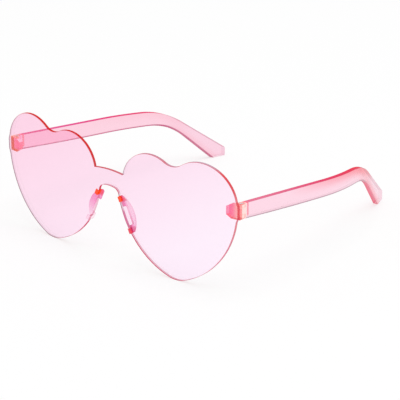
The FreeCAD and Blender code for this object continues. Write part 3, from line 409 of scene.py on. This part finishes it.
@dataclass(frozen=True)
class LensSheet(ClearPlastic):
    """The lens sheet: its tint pales from heart to heart by painted light and shade, and its cut edge is
    coral, partly its own colour and partly painted glow.

    Lengths are in millimetres. Right and left are the wearer's. The tint is painted deepest in the upper
    right heart as shade and palest in the lower left one as light.

    Attributes:
        deep: White seen through the sheet where the painted shade makes the tint deepest.
        pale: White seen through the sheet where the painted light makes the tint palest.
        cut_warm: The cut edge's colour on the right, partly the plastic's own deep colour along the cut and
            partly painted glow.
        cut_cool: The cut edge's colour on the left, which differs from the right by painted light and shade.
        cut_top: Its colour on the tops of the left heart, paler there by painted light.
        cut_low: Its colour where it points down, deeper there by painted shade.
        line: The thin dark line of painted shade at the cut's front corner, where the cut is seen through the
            sheet.
        pad_line: The cut's colour by the left nose pad, seen through the sheet.
        radius: Radius of the sheet's front face.
        tilt: How fast the tint changes across, as a share of how fast it changes with height.
        pale_span: Where the painted light pales the tint.
        cool_span: Where the cut changes from right to left.
        nose_span: Where the cut that points down gets its colour also from within.
        cut_span: How far the cut edge faces forward.
        level_span: How far the tops face up.
        side_span: How far the paler sides of the left heart face up.
        low_span: How far the lower cut faces up.
        corner_span: How deep the front corner is.
        seat_across: How far a nose pad's seat is from the middle.
        seat_height: Its height.
        seat_width: Half the seat's width, where it ends and where it is full.
        seat_rise: Half its height, in the same way.
        pad_side: Where the left side starts.
        pad_top: Where the pad's line ends and where it is full.
        cut_share: How strong the cut is.
        level_loss: How much weaker it is on the tops.
        side_loss: How much weaker it is on the sides of the left heart.
        seat_loss: How much weaker it is by the nose pads.
        inner_cut_share: How strong the cut is when it is seen through the sheet, where it is painted shade.
        corner_share: How much stronger it is at the front corner.
        low_share: How much stronger it is where it points down.
        pad_share: How strong it is by the left nose pad.
        inner_cut_glow: The strength of the painted glow in it.
    """

    deep: Colour = srgb(254, 212, 232)
    pale: Colour = srgb(255, 240, 253)
    cut_warm: Colour = srgb(200, 20, 8)
    cut_cool: Colour = srgb(214, 66, 74)
    cut_top: Colour = srgb(168, 112, 134)
    cut_low: Colour = srgb(206, 22, 86)
    line: Colour = srgb(92, 24, 50)
    pad_line: Colour = srgb(214, 70, 140)
    radius: float = 492.0
    tilt: float = 0.6
    pale_span: Span = (-90.0, 10.0)
    cool_span: Span = (-20.0, 45.0)
    nose_span: Span = (-42.0, -26.0)
    cut_span: Span = (0.98, 0.88)
    level_span: Span = (0.8, 0.98)
    side_span: Span = (0.6, 0.1)
    low_span: Span = (-0.1, -0.55)
    corner_span: Span = (0.8, 0.4)
    seat_across: float = 9.5
    seat_height: float = 24.5
    seat_width: Span = (5.5, 4.0)
    seat_rise: Span = (10.0, 8.5)
    pad_side: Span = (0.0, 2.0)
    pad_top: Span = (29.0, 26.0)
    cut_share: float = 0.97
    level_loss: float = 0.25
    side_loss: float = 0.22
    seat_loss: float = 0.6
    inner_cut_share: float = 0.1
    corner_share: float = 0.6
    low_share: float = 0.4
    pad_share: float = 0.8
    inner_cut_glow: float = 0.05

    def narrow(self, bench: ShaderBench) -> Term:
        """Gives 1 on the cut edge."""
        return bench.ease(abs(bench.read(Source.DIRECTION, Axis.Y)), *self.cut_span)

    def wall(self, bench: ShaderBench) -> Term:
        """Gives the clear sheet with its cut edge.

        Args:
            bench: The material's bench.

        Returns:
            The shader.
        """
        across, back, height = (bench.place(axis) for axis in Axis)
        inside, upward = bench.inside(), bench.outward(Axis.Z)
        # Painted light and shade: the tint is deeper towards the upper right and paler towards the lower
        # left.
        pale = bench.ramp(self.tilt * across - height, *self.pale_span)
        clear = bench.layer(pale, bench.tint(self.deep), bench.tint(self.pale))
        cool = bench.ramp(across, *self.cool_span)
        level = cool * bench.ease(upward, *self.level_span)
        side = cool * bench.ease(upward, *self.side_span)
        low = bench.ease(upward, *self.low_span)
        seat = bench.ease(abs(abs(across) - self.seat_across), *self.seat_width)
        seat = seat * bench.ease(abs(height - self.seat_height), *self.seat_rise)

        # Painted light and shade on the cut edge: its colour changes with the way it faces, paler on the tops
        # and deeper where it points down, and it glows.
        cut = bench.blend(cool, self.cut_warm, self.cut_cool)
        cut = bench.blend(low, bench.blend(level, cut, self.cut_top), self.cut_low)
        cut_share = self.cut_share - self.level_loss * level - self.side_loss * side - self.seat_loss * seat

        # Seen through the sheet, the cut is painted shade: a thin dark line at its front corner and a deeper
        # colour where it points down by the nose.
        centre = self.radius - LENS_TO_MIDDLE
        depth = self.radius - (across**2.0 + (back - centre) ** 2.0) ** 0.5
        corner = bench.ease(depth, *self.corner_span)
        low_nose = low * bench.ramp(across, *self.nose_span)
        pad = seat * bench.ramp(across, *self.pad_side) * bench.ease(height, *self.pad_top)
        inner_cut = bench.blend(pad, bench.blend(low_nose, self.line, self.cut_low), self.pad_line)
        inner_cut_share = self.inner_cut_share + self.corner_share * corner + self.low_share * low_nose
        inner_cut_share = bench.larger(inner_cut_share, self.pad_share * pad)

        edge = bench.layer(inside, bench.solid(cut, self.edge_glow), bench.solid(inner_cut, self.inner_cut_glow))
        share = self.narrow(bench) * bench.between(inside, cut_share, inner_cut_share)
        return bench.layer(share, clear, edge)


@dataclass(frozen=True)
class HingePlastic(ClearPlastic):
    """Clear plastic with a pale painted highlight, which also glows, on the faces where it is cut for the
    hinge.

    Attributes:
        hinge_highlight: The colour of the painted highlight on those faces.
        hinge_highlight_share: How strongly the painted highlight covers them.
        hinge_highlight_glow: The strength of the painted glow in them.
    """

    hinge_highlight: Colour = srgb(252, 212, 206)
    hinge_highlight_share: float = 0.9
    hinge_highlight_glow: float = 0.25

    def with_hinge_highlight(self, bench: ShaderBench, hinge: Term, plain: Term) -> Term:
        """Adds the painted highlight on the hinge's faces to a wall.

        Args:
            bench: The material's bench.
            hinge: The share that is 1 on the hinge's faces.
            plain: The shader of the other faces.

        Returns:
            The shader of all faces.
        """
        # Painted highlight: a pale solid that glows, laid over the hinge's faces.
        return bench.layer(self.hinge_highlight_share * hinge, plain, bench.solid(self.hinge_highlight, self.hinge_highlight_glow))


@dataclass(frozen=True)
class ArmOutline:
    """An arm's outline from the side, as four lines that run into each other, in millimetres and degrees.

    Attributes:
        hinge_back: How far behind the lens the top and the belly start.
        top_height: The top's height there.
        top_slope: How steeply the top falls.
        belly_height: The belly's height there.
        belly_slope: How steeply the belly falls there.
        belly_width: The belly rises out of its straight fall by the square of the way back, over this.
        end_back: How far behind the lens the drop ends.
        end_height: The drop's height there.
        drop_slope: How steeply the drop falls.
        heel_back: How far behind the lens the heel ends.
        heel_height: The heel's height there.
        heel_slope: How steeply the heel falls.
        bend_round: How softly the top runs into the drop.
        heel_round: How softly the belly runs into the heel.
    """

    hinge_back: float = 11.66
    top_height: float = 44.38
    top_slope: float = 6.3
    belly_height: float = 36.68
    belly_slope: float = 7.77
    belly_width: float = 3793.0
    end_back: float = 150.74
    end_height: float = 5.27
    drop_slope: float = 36.8
    heel_back: float = 142.96
    heel_height: float = 0.27
    heel_slope: float = 43.4
    bend_round: float = 12.0
    heel_round: float = 13.0

    def heights(self, bench: ShaderBench, back: Term) -> tuple[Term, Term]:
        """Gives the upper and the lower outline.

        Args:
            bench: The material's bench.
            back: How far behind the lens a place is.

        Returns:
            The heights of both outlines there.
        """
        slopes = (self.top_slope, self.belly_slope, self.drop_slope, self.heel_slope)
        top_fall, belly_fall, drop_fall, heel_fall = (math.tan(math.radians(slope)) for slope in slopes)
        behind = back - self.hinge_back
        top = self.top_height - top_fall * behind
        belly = self.belly_height - belly_fall * behind + behind**2.0 * (1 / self.belly_width)
        drop = self.end_height + drop_fall * (self.end_back - back)
        heel = self.heel_height + heel_fall * (self.heel_back - back)
        upper = bench.maths("SMOOTH_MIN", top, drop, self.bend_round)
        lower = bench.maths("SMOOTH_MIN", belly, heel, self.heel_round)
        return upper, lower


@dataclass(frozen=True)
class ArmPlastic(HingePlastic):
    """An arm's plastic: clear sides, a top line of deeper colour and painted shade, and painted warm light in
    the bend.

    Lengths are in millimetres, and spans along the arm count from the lens.

    Attributes:
        through: White seen through the arm's sides.
        tip: White seen through the sides of the tip.
        warm: White seen through the sides where painted light gathers.
        line: The colour of the upper narrow face, its deeper colour with painted shade.
        bend_line: Its colour by the bend, warmer there by painted light.
        under: The painted shade along the lower edge, and on the other narrow faces.
        heel: The painted shade's colour at the tip.
        front_line: How strong the upper line is by the hinge.
        back_line: How strong it is by the bend.
        low_line: How strong the painted shade line along the lower edge is.
        heel_line: How strong it is along the tip.
        drop_line: How strong the painted shade along the top of the tip is.
        plain_line: How strong the painted shade on the other narrow faces is.
        bend_glow: How deep the painted warm light is in the bend.
        heel_glow: How deep it is along the tip's lower edge.
        outline: The arm's outline.
        narrow_span: How far the narrow faces point sideways.
        up_span: How far the upper face points up.
        tip_span: Where the tip starts.
        bend_start: Where the bend's painted light starts along the arm.
        bend_end: Where it ends.
        bend_depth: How far it reaches down from the top.
        heel_depth: How far the heel's painted light reaches up from below.
        line_span: Where the upper line changes its strength.
        line_end: Where it ends.
        bend_line_span: Where it changes its colour.
        edge_depth: How far the painted shade line along the lower edge reaches up.
        shoulder_back: Where the painted warm glow on the shoulder behind the hinge is.
        shoulder_width: Half its width, where it ends and where it is full.
        shoulder_foot: The height at which it starts.
        shoulder_share: How strong it is.
        tongue_span: Where the hinge tongue starts.
    """

    through: Colour = srgb(255, 217, 231)
    tip: Colour = srgb(254, 211, 226)
    warm: Colour = srgb(252, 112, 128)
    line: Colour = srgb(210, 20, 96)
    bend_line: Colour = srgb(220, 40, 66)
    under: Colour = srgb(104, 40, 70)
    heel: Colour = srgb(150, 30, 84)
    front_line: float = 0.72
    back_line: float = 0.94
    low_line: float = 0.55
    heel_line: float = 0.2
    drop_line: float = 0.18
    plain_line: float = 0.1
    bend_glow: float = 0.95
    heel_glow: float = 0.85
    outline: ArmOutline = ArmOutline()
    narrow_span: Span = (0.8, 0.5)
    up_span: Span = (0.2, 0.8)
    tip_span: Span = (112.0, 124.0)
    bend_start: Span = (45.0, 118.0)
    bend_end: Span = (134.0, 122.0)
    bend_depth: Span = (6.5, 0.3)
    heel_depth: Span = (6.0, 0.5)
    line_span: Span = (12.0, 80.0)
    line_end: Span = (122.0, 108.0)
    bend_line_span: Span = (50.0, 110.0)
    edge_depth: Span = (1.0, 0.4)
    shoulder_back: float = 12.9
    shoulder_width: Span = (0.8, 0.4)
    shoulder_foot: Span = (37.6, 38.4)
    shoulder_share: float = 0.7
    tongue_span: Span = (12.2, 11.7)

    def narrow(self, bench: ShaderBench) -> Term:
        """Gives 1 on the arm's top, underside and end."""
        return bench.ease(abs(bench.read(Source.DIRECTION, Axis.X)), *self.narrow_span)

    def wall(self, bench: ShaderBench) -> Term:
        """Gives the clear arm with its lines and its warm light.

        Args:
            bench: The material's bench.

        Returns:
            The shader.
        """
        back, height = bench.place(Axis.Y) + LENS_TO_MIDDLE, bench.place(Axis.Z)
        upper, lower = self.outline.heights(bench, back)
        narrow, inside = self.narrow(bench), bench.inside()
        end = bench.ease(back, *self.tip_span)

        # Painted warm light that gathers in the bend and along the heel.
        bend = bench.ramp(back, *self.bend_start) * bench.ease(back, *self.bend_end)
        bend = bend * bench.ease(upper - height, *self.bend_depth)
        heel = end * bench.ease(height - lower, *self.heel_depth)
        warmth = bench.larger(self.bend_glow * bend, self.heel_glow * heel)
        plain = bench.layer(end, bench.tint(self.through), bench.tint(self.tip))
        clear = bench.layer(warmth, plain, bench.tint(self.warm))

        # The dark line along the top is partly the top face's deeper colour and partly painted shade.
        upward = bench.ease(bench.outward(Axis.Z), *self.up_span)
        top = narrow * upward * bench.ease(back, *self.line_end) * (1 - inside)
        top_share = bench.between(bench.ramp(back, *self.line_span), self.front_line, self.back_line)
        # Painted shade: a dark line along the lower edge, standing in for the shade of its rounding, and on
        # the other narrow faces.
        edge = (1 - inside) * bench.ease(height - lower, *self.edge_depth)
        edge_share = edge * bench.between(end, self.low_line, self.heel_line)
        plain_share = narrow * (self.plain_line + self.drop_line * end * upward)
        share = bench.between(top, bench.larger(plain_share, edge_share), top_share)
        line = bench.blend(bench.ramp(back, *self.bend_line_span), self.line, self.bend_line)
        colour = bench.blend(top, bench.blend(end, self.under, self.heel), line)
        arm = bench.layer(share, clear, bench.solid(colour, self.edge_glow))

        # Painted warm glow on the shoulder behind the hinge.
        shoulder = bench.ease(abs(back - self.shoulder_back), *self.shoulder_width)
        shoulder = shoulder * bench.ease(height, *self.shoulder_foot) * (1 - inside)
        arm = bench.layer(self.shoulder_share * shoulder, arm, bench.solid(self.warm, self.edge_glow))
        # The hinge tongue gets the painted highlight.
        return self.with_hinge_highlight(bench, bench.ease(back, *self.tongue_span), arm)


@dataclass(frozen=True)
class BlockPlastic(HingePlastic):
    """The end pieces' plastic: pink through its broad faces, with painted warm light at the outer side, below
    and on top.

    Lengths are in millimetres, and places across count from the middle.

    Attributes:
        through: White seen through the broad faces.
        core: White seen through the part of them that is before the hinge.
        side: White seen through the other faces.
        warm: The colour of the painted warm light on the outer side and the underside, seen through the
            block, and on the top.
        front_glow: The colour of the painted glow on the front face.
        strip: Its colour along the outer side and the foot.
        edge_glow: The strength of the painted glow in the warm faces and the front.
        front_glow_share: How strongly the painted glow covers the front face.
        strip_share: How strongly it covers the strip along the outer side and the foot.
        clear_share: How strongly the other faces scatter.
        warm_share: How much more strongly the painted warm light covers the warm faces.
        top_share: How much more strongly it covers the top.
        facing: How far a face points along an axis to count as facing that way.
        facing_away: How far it does so the other way.
        core_across: Where the middle of the core is.
        core_width: Half its width, where it ends and where it is full.
        outer_across: Where the outer side is.
        outer_back: Where its warm front part is along Y.
        strip_across: Where the strip along the outer side starts.
        strip_foot: The height of the strip along the foot.
        axis_across: Where the hinge's axis is.
        axis_back: Where it is along Y.
        axis_height: The height of the hinge's middle.
        slot_rise: Half the height of the slot's faces, where they end and where they are full.
        bore_reach: How far the faces of the bore are from the axis.
    """

    through: Colour = srgb(252, 98, 146)
    core: Colour = srgb(255, 168, 164)
    side: Colour = srgb(255, 214, 214)
    warm: Colour = srgb(228, 96, 96)
    front_glow: Colour = srgb(252, 150, 178)
    strip: Colour = srgb(230, 112, 62)
    edge_glow: float = 0.2
    front_glow_share: float = 0.0
    strip_share: float = 0.0
    clear_share: float = 0.02
    warm_share: float = 0.8
    top_share: float = 0.25
    facing: Span = (0.5, 0.8)
    facing_away: Span = (-0.5, -0.8)
    core_across: float = 72.0
    core_width: Span = (2.6, 1.0)
    outer_across: Span = (74.1, 74.25)
    outer_back: Span = (-66.6, -67.2)
    strip_across: Span = (71.5, 72.1)
    strip_foot: Span = (38.9, 38.4)
    axis_across: float = 72.85
    axis_back: float = -65.315
    axis_height: float = 40.8
    slot_rise: Span = (3.4, 3.2)
    bore_reach: Span = (2.0, 1.8)

    def narrow(self, bench: ShaderBench) -> Term:
        """Gives 1 on the top and the underside."""
        return bench.ease(abs(bench.read(Source.DIRECTION, Axis.Z)), *self.facing)

    def wall(self, bench: ShaderBench) -> Term:
        """Gives the tinted block with its warm faces and its hinge.

        Args:
            bench: The material's bench.

        Returns:
            The shader.
        """
        across, back, height = abs(bench.place(Axis.X)), bench.place(Axis.Y), bench.place(Axis.Z)
        inside, upward = bench.inside(), bench.outward(Axis.Z)
        core = bench.ease(abs(across - self.core_across), *self.core_width)
        broad = bench.layer(core, bench.tint(self.through), bench.tint(self.core))
        is_broad = bench.ease(abs(bench.read(Source.DIRECTION, Axis.Y)), *self.facing)
        clear = bench.layer(is_broad, bench.tint(self.side), broad)

        # Painted warm light on the outer side and the underside, seen through the block, and on the top.
        outer = bench.ease(across, *self.outer_across) * bench.ease(back, *self.outer_back)
        warm = inside * bench.larger(bench.ease(upward, *self.facing_away), outer)
        top = bench.ease(upward, *self.facing) * (1 - inside)
        warm_share = self.clear_share + self.warm_share * warm + self.top_share * top
        block = bench.layer(warm_share, clear, bench.solid(self.warm, self.edge_glow))

        # Painted glow on the front face, with an orange strip along the outer side and the foot.
        front = bench.ease(bench.outward(Axis.Y), *self.facing_away) * (1 - inside)
        strip = bench.larger(bench.ease(across, *self.strip_across), bench.ease(height, *self.strip_foot))
        front_glow = bench.solid(bench.blend(strip, self.front_glow, self.strip), self.edge_glow)
        block = bench.layer(front * bench.between(strip, self.front_glow_share, self.strip_share), block, front_glow)

        # The slot's and the bore's faces get the painted highlight.
        reach = ((across - self.axis_across) ** 2.0 + (back - self.axis_back) ** 2.0) ** 0.5
        slot = bench.larger(self.narrow(bench), bench.ease(reach, *self.bore_reach))
        slot = slot * bench.ease(abs(height - self.axis_height), *self.slot_rise)
        return self.with_hinge_highlight(bench, slot, block)


@dataclass(frozen=True)
class PadPlastic(ClearPlastic):
    """The nose pads' plastic: a pink plate that changes along its length, with hooked ends in a painted
    orange glow.

    Lengths are in millimetres.

    Attributes:
        plate_top: White seen through the plate's upper end.
        plate_low: White seen through its lower end.
        bar: White seen through the bar along the lens edge.
        edge: The colour of the plate's narrow faces.
        hook: The colour of the painted glow in the hooks.
        edge_glow: The strength of the painted glow in the narrow faces and the hooks.
        bar_share: How much of the bar has its colour.
        edge_top: How strong the colour of the narrow faces is at the upper end.
        edge_low: How strong it is at the lower end.
        edge_far: The share of it that is left far from the lens edge.
        plate_share: How strongly the plate scatters.
        hook_share: How strongly the painted glow covers the hooks.
        upper_reach: How strongly the painted glow reaches the plate behind the upper hook.
        lower_glow: How strongly the painted glow covers the lower hook.
        seat_across: Where a pad touches the lens edge, from the middle.
        seat_height: How high it touches.
        lean: The pad's angle from level, in degrees.
        rise: The pad's length above that place.
        drop: Its length below it.
        fade_top: The share of the rise at which the plate starts to change.
        fade_low: The share of the drop at which the change ends.
        upper_hook: How far from the upper end the hook starts and is full.
        lower_hook: How far from the lower end the hook starts and is full.
        grip: Where the hooks' front parts start along Y.
        bar_span: Where the bar ends, away from the lens edge, and where it is full.
        far_span: Where the narrow faces weaken, away from the lens edge.
        narrow_span: How far the narrow faces point forward.
    """

    plate_top: Colour = srgb(255, 228, 240)
    plate_low: Colour = srgb(255, 222, 240)
    bar: Colour = srgb(242, 120, 180)
    edge: Colour = srgb(206, 60, 122)
    hook: Colour = srgb(250, 74, 24)
    edge_glow: float = 0.2
    bar_share: float = 0.8
    edge_top: float = 0.15
    edge_low: float = 0.65
    edge_far: float = 0.4
    plate_share: float = 0.03
    hook_share: float = 0.85
    upper_reach: float = 0.15
    lower_glow: float = 0.6
    seat_across: float = 9.97
    seat_height: float = 23.34
    lean: float = 64.35
    rise: float = 11.09
    drop: float = 7.51
    fade_top: float = 0.3
    fade_low: float = 0.7
    upper_hook: Span = (3.6, 2.6)
    lower_hook: Span = (3.2, 2.4)
    grip: Span = (-73.2, -73.8)
    bar_span: Span = (2.4, 1.6)
    far_span: Span = (3.4, 2.6)
    narrow_span: Span = (0.9, 0.6)

    def narrow(self, bench: ShaderBench) -> Term:
        """Gives 1 on the plate's edges and in its window."""
        return bench.ease(abs(bench.read(Source.DIRECTION, Axis.Y)), *self.narrow_span)

    def wall(self, bench: ShaderBench) -> Term:
        """Gives the tinted plate with its hooks.

        Args:
            bench: The material's bench.

        Returns:
            The shader.
        """
        turn = math.radians(self.lean)
        across = abs(bench.place(Axis.X)) - self.seat_across
        height = bench.place(Axis.Z) - self.seat_height
        along = across * math.cos(turn) - height * math.sin(turn)
        aside = across * math.sin(turn) + height * math.cos(turn)

        fade = bench.ramp(along, -self.fade_top * self.rise, self.fade_low * self.drop)
        plate = bench.layer(fade, bench.tint(self.plate_top), bench.tint(self.plate_low))
        bar = bench.ease(aside, *self.bar_span)
        plate = bench.layer(self.bar_share * bar, plate, bench.tint(self.bar))

        # Painted orange glow in the hooks.
        upper = bench.ease(along, *(inset - self.rise for inset in self.upper_hook))
        lower = bench.ease(along, *(self.drop - inset for inset in self.lower_hook))
        grip = bench.ease(bench.place(Axis.Y), *self.grip)
        upper_glow = upper * bench.between(grip, self.upper_reach, 1.0)
        hook = bench.larger(upper_glow, self.lower_glow * lower * grip)
        edge = self.narrow(bench) * bench.between(fade, self.edge_top, self.edge_low)
        edge = edge * bench.between(bench.ease(aside, *self.far_span), self.edge_far, 1.0)
        share = self.plate_share + edge + hook * (self.hook_share - edge)
        return bench.layer(share, plate, bench.solid(bench.blend(hook, self.edge, self.hook), self.edge_glow))


@dataclass(frozen=True)
class TurnedSteel:
    """Plain steel with fine rings from turning.

    Attributes:
        name: The material's name.
        bright: The steel's colour.
        dull: Its colour where it is worn.
        roughness: Its roughness where it is smooth and where it is worn.
        wear_scale: How many worn places fit in a metre, about.
        ring_scale: How close the rings are.
        ring_strength: How strongly they show.
        ring_depth: How deep they are.
    """

    name: str = "turned_steel"
    bright: Colour = srgb(240, 228, 229)
    dull: Colour = srgb(226, 212, 213)
    roughness: Span = (0.28, 0.42)
    wear_scale: float = 1500.0
    ring_scale: float = 900.0
    ring_strength: float = 0.3
    ring_depth: float = 0.05 * MM

    def make(self) -> bpy.types.Material:
        """Builds the material.

        Returns:
            The material.
        """
        material = bpy.data.materials.new(self.name)
        bench = ShaderBench(material)
        place = bench.node("TexCoord", Source.PLACE.value)
        rings = bench.node("TexWave", "Fac", {"bands_direction": "Z"}, Vector=place, Scale=self.ring_scale)
        worn = bench.grain(self.wear_scale)
        steel = bench.node(
            "BsdfPrincipled",
            Base_Color=bench.blend(worn, self.bright, self.dull),
            Metallic=1.0,
            Roughness=bench.between(worn, *self.roughness),
            Normal=bench.node("Bump", Height=rings, Strength=self.ring_strength, Distance=self.ring_depth),
        )
        bench.show(steel)
        return material


def dress(node: str, material: bpy.types.Material) -> None:
    """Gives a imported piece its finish.

    Args:
        node: The piece's name.
        material: Its finish.
    """
    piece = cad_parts[node]
    piece.data.materials.clear()
    piece.data.materials.append(material)
    LOG.info("%s wears %s", node, material.name)


@dataclass
class Studio:
    """The floor, the light and the camera.

    Attributes:
        floor_width: The floor's width in metres.
        paper_grey: The level of the floor's white paper.
        paper_glow: The share of the paper that is seen as plain white, so that shadows stay soft.
        room_light: The strength of the room's even light.
        lamp_place: Where the lamp is, in metres.
        lamp_width: The lamp's width in metres.
        lamp_power: The lamp's power in watts.
        azimuth: The camera's direction round the object, in degrees.
        elevation: The camera's height above the horizon, in degrees.
        distance: The camera's distance from its target, in millimetres.
        focal: The camera's focal length, in millimetres.
        sensor: The width of its sensor, in millimetres.
        target: The point in the middle of the picture, in millimetres.
    """

    floor_width: float = 8.0
    paper_grey: float = 0.95
    paper_glow: float = 0.65
    room_light: float = 0.7
    lamp_place: Place = (0.45, -0.1, 2.6)
    lamp_width: float = 2.2
    lamp_power: float = 29.0
    azimuth: float = 40.29
    elevation: float = 21.257
    distance: float = 714.17
    focal: float = 142.3
    sensor: float = 36.0
    target: Place = (56.636, -75.007, 44.694)

    def build(self) -> None:
        """Makes the floor, the light and the camera."""
        self.lay_floor()
        self.fill_room()
        self.hang_lamp()
        self.place_camera()

    def paper(self) -> bpy.types.Material:
        """Makes the white paper: seen as white, with part of its light left to the lamp so that shadows show.

        Returns:
            The material.
        """
        material = bpy.data.materials.new("white_paper")
        bench = ShaderBench(material)
        lit = bench.node("BsdfDiffuse", Color=(self.paper_grey,) * 3)
        glow = bench.node("Emission", Color=WHITE, Strength=1.0)
        bench.show(bench.layer(self.paper_glow * bench.seen(), lit, glow))
        return material

    def lay_floor(self) -> None:
        """Lays the floor under the tips."""
        bpy.ops.object.select_all(action="DESELECT")
        bpy.ops.mesh.primitive_plane_add(size=self.floor_width)
        floor = bpy.context.object
        floor.name = "floor"
        floor.data.materials.append(self.paper())

    def fill_room(self) -> None:
        """Fills the room with even light and makes it look white."""
        world = bpy.data.worlds.new("white_room")
        bpy.context.scene.world = world
        bench = ShaderBench(world)
        room = bench.node("Background", Color=WHITE, Strength=self.room_light)
        white = bench.node("Background", Color=WHITE, Strength=1.0)
        bench.show(bench.layer(bench.seen(), room, white))

    def hang_lamp(self) -> None:
        """Hangs one large soft lamp that points at the middle of the floor."""
        bpy.ops.object.light_add(type="AREA", location=self.lamp_place)
        lamp = bpy.context.object
        lamp.name = "soft_lamp"
        lamp.data.shape = "DISK"
        lamp.data.size = self.lamp_width
        lamp.data.energy = self.lamp_power
        lamp.rotation_mode = "QUATERNION"
        lamp.rotation_quaternion = lamp.location.to_track_quat("Z", "Y")

    def place_camera(self) -> None:
        """Puts the camera where the picture was taken from."""
        around, up = math.radians(self.azimuth), math.radians(self.elevation)
        back = Vector((math.sin(around) * math.cos(up), -math.cos(around) * math.cos(up), math.sin(up)))
        data = bpy.data.cameras.new("camera")
        data.sensor_width = self.sensor
        data.lens = self.focal
        camera = bpy.data.objects.new("camera", data)
        bpy.context.scene.collection.objects.link(camera)
        camera.location = (Vector(self.target) + back * self.distance) * MM
        camera.rotation_mode = "QUATERNION"
        camera.rotation_quaternion = (-back).to_track_quat("-Z", "Y")
        bpy.context.scene.camera = camera


@dataclass
class Front:
    """The lens shield with its end pieces, hinge screws and nose pads.

    Attributes:
        lens: The lens shield's finish.
        left_block: The left end piece's finish.
        right_block: The right end piece's finish.
        left_pad: The left nose pad's finish.
        right_pad: The right nose pad's finish.
        steel: The screws' finish.
    """

    lens: LensSheet = LensSheet("lens_sheet")
    left_block: BlockPlastic = BlockPlastic("left_block_plastic")
    # The right end piece is the same plastic; its other colours are painted light and shade for how it is
    # lit.
    right_block: BlockPlastic = BlockPlastic(
        "right_block_plastic",
        through=srgb(255, 126, 166),
        core=srgb(255, 160, 178),
        warm=srgb(242, 206, 84),
        hinge_highlight=srgb(250, 205, 220),
        front_glow_share=0.6,
        strip_share=0.95,
    )
    left_pad: PadPlastic = PadPlastic("left_pad_plastic")
    # The right nose pad is the same plastic; its other colours are painted light and shade for how it is lit.
    right_pad: PadPlastic = PadPlastic(
        "right_pad_plastic",
        plate_top=srgb(250, 160, 208),
        plate_low=srgb(255, 242, 248),
        bar_share=0.0,
        edge_top=0.1,
        edge_low=0.04,
        upper_reach=0.3,
        lower_glow=0.0,
    )
    steel: TurnedSteel = TurnedSteel()

    def dress(self) -> None:
        """Gives every piece of the front its finish."""
        dress("lens_shield", self.lens.make())
        steel = self.steel.make()
        left = (Side.LEFT, self.left_block, self.left_pad)
        right = (Side.RIGHT, self.right_block, self.right_pad)
        for side, block, pad in (left, right):
            dress(f"{side.value}_end_piece", block.make())
            dress(f"{side.value}_nose_pad", pad.make())
            dress(f"{side.value}_hinge_screw", steel)


@dataclass
class TempleArm:
    """One temple arm.

    Attributes:
        side: The wearer's side.
        plastic: The arm's finish.
    """

    side: Side
    plastic: ArmPlastic

    def dress(self) -> None:
        """Gives the arm its finish."""
        dress(f"{self.side.value}_temple_arm", self.plastic.make())


def main() -> None:
    """Builds the scene in order."""
    logging.basicConfig(level=logging.INFO)
    bpy.context.view_layer.update()
    bpy.context.scene.view_settings.view_transform = "Standard"
    Front().dress()
    # Both arms are one plastic; their differing tints, lines and glow are painted light and shade for how
    # each is lit.
    left_arm_painted_look = ArmPlastic("left_arm_plastic")
    right_arm_painted_look = ArmPlastic(
        "right_arm_plastic",
        through=srgb(254, 211, 226),
        tip=srgb(252, 211, 227),
        line=srgb(216, 22, 122),
        bend_line=srgb(220, 10, 84),
        under=srgb(186, 26, 102),
        heel=srgb(178, 30, 98),
        hinge_highlight=srgb(250, 205, 220),
        front_line=0.82,
        back_line=0.95,
        low_line=0.85,
        heel_line=0.7,
        drop_line=0.3,
        bend_glow=0.1,
        heel_glow=0.14,
    )
    TempleArm(Side.LEFT, left_arm_painted_look).dress()
    TempleArm(Side.RIGHT, right_arm_painted_look).dress()
    Studio().build()
    bpy.context.view_layer.update()


if __name__ == "__main__":
    main()
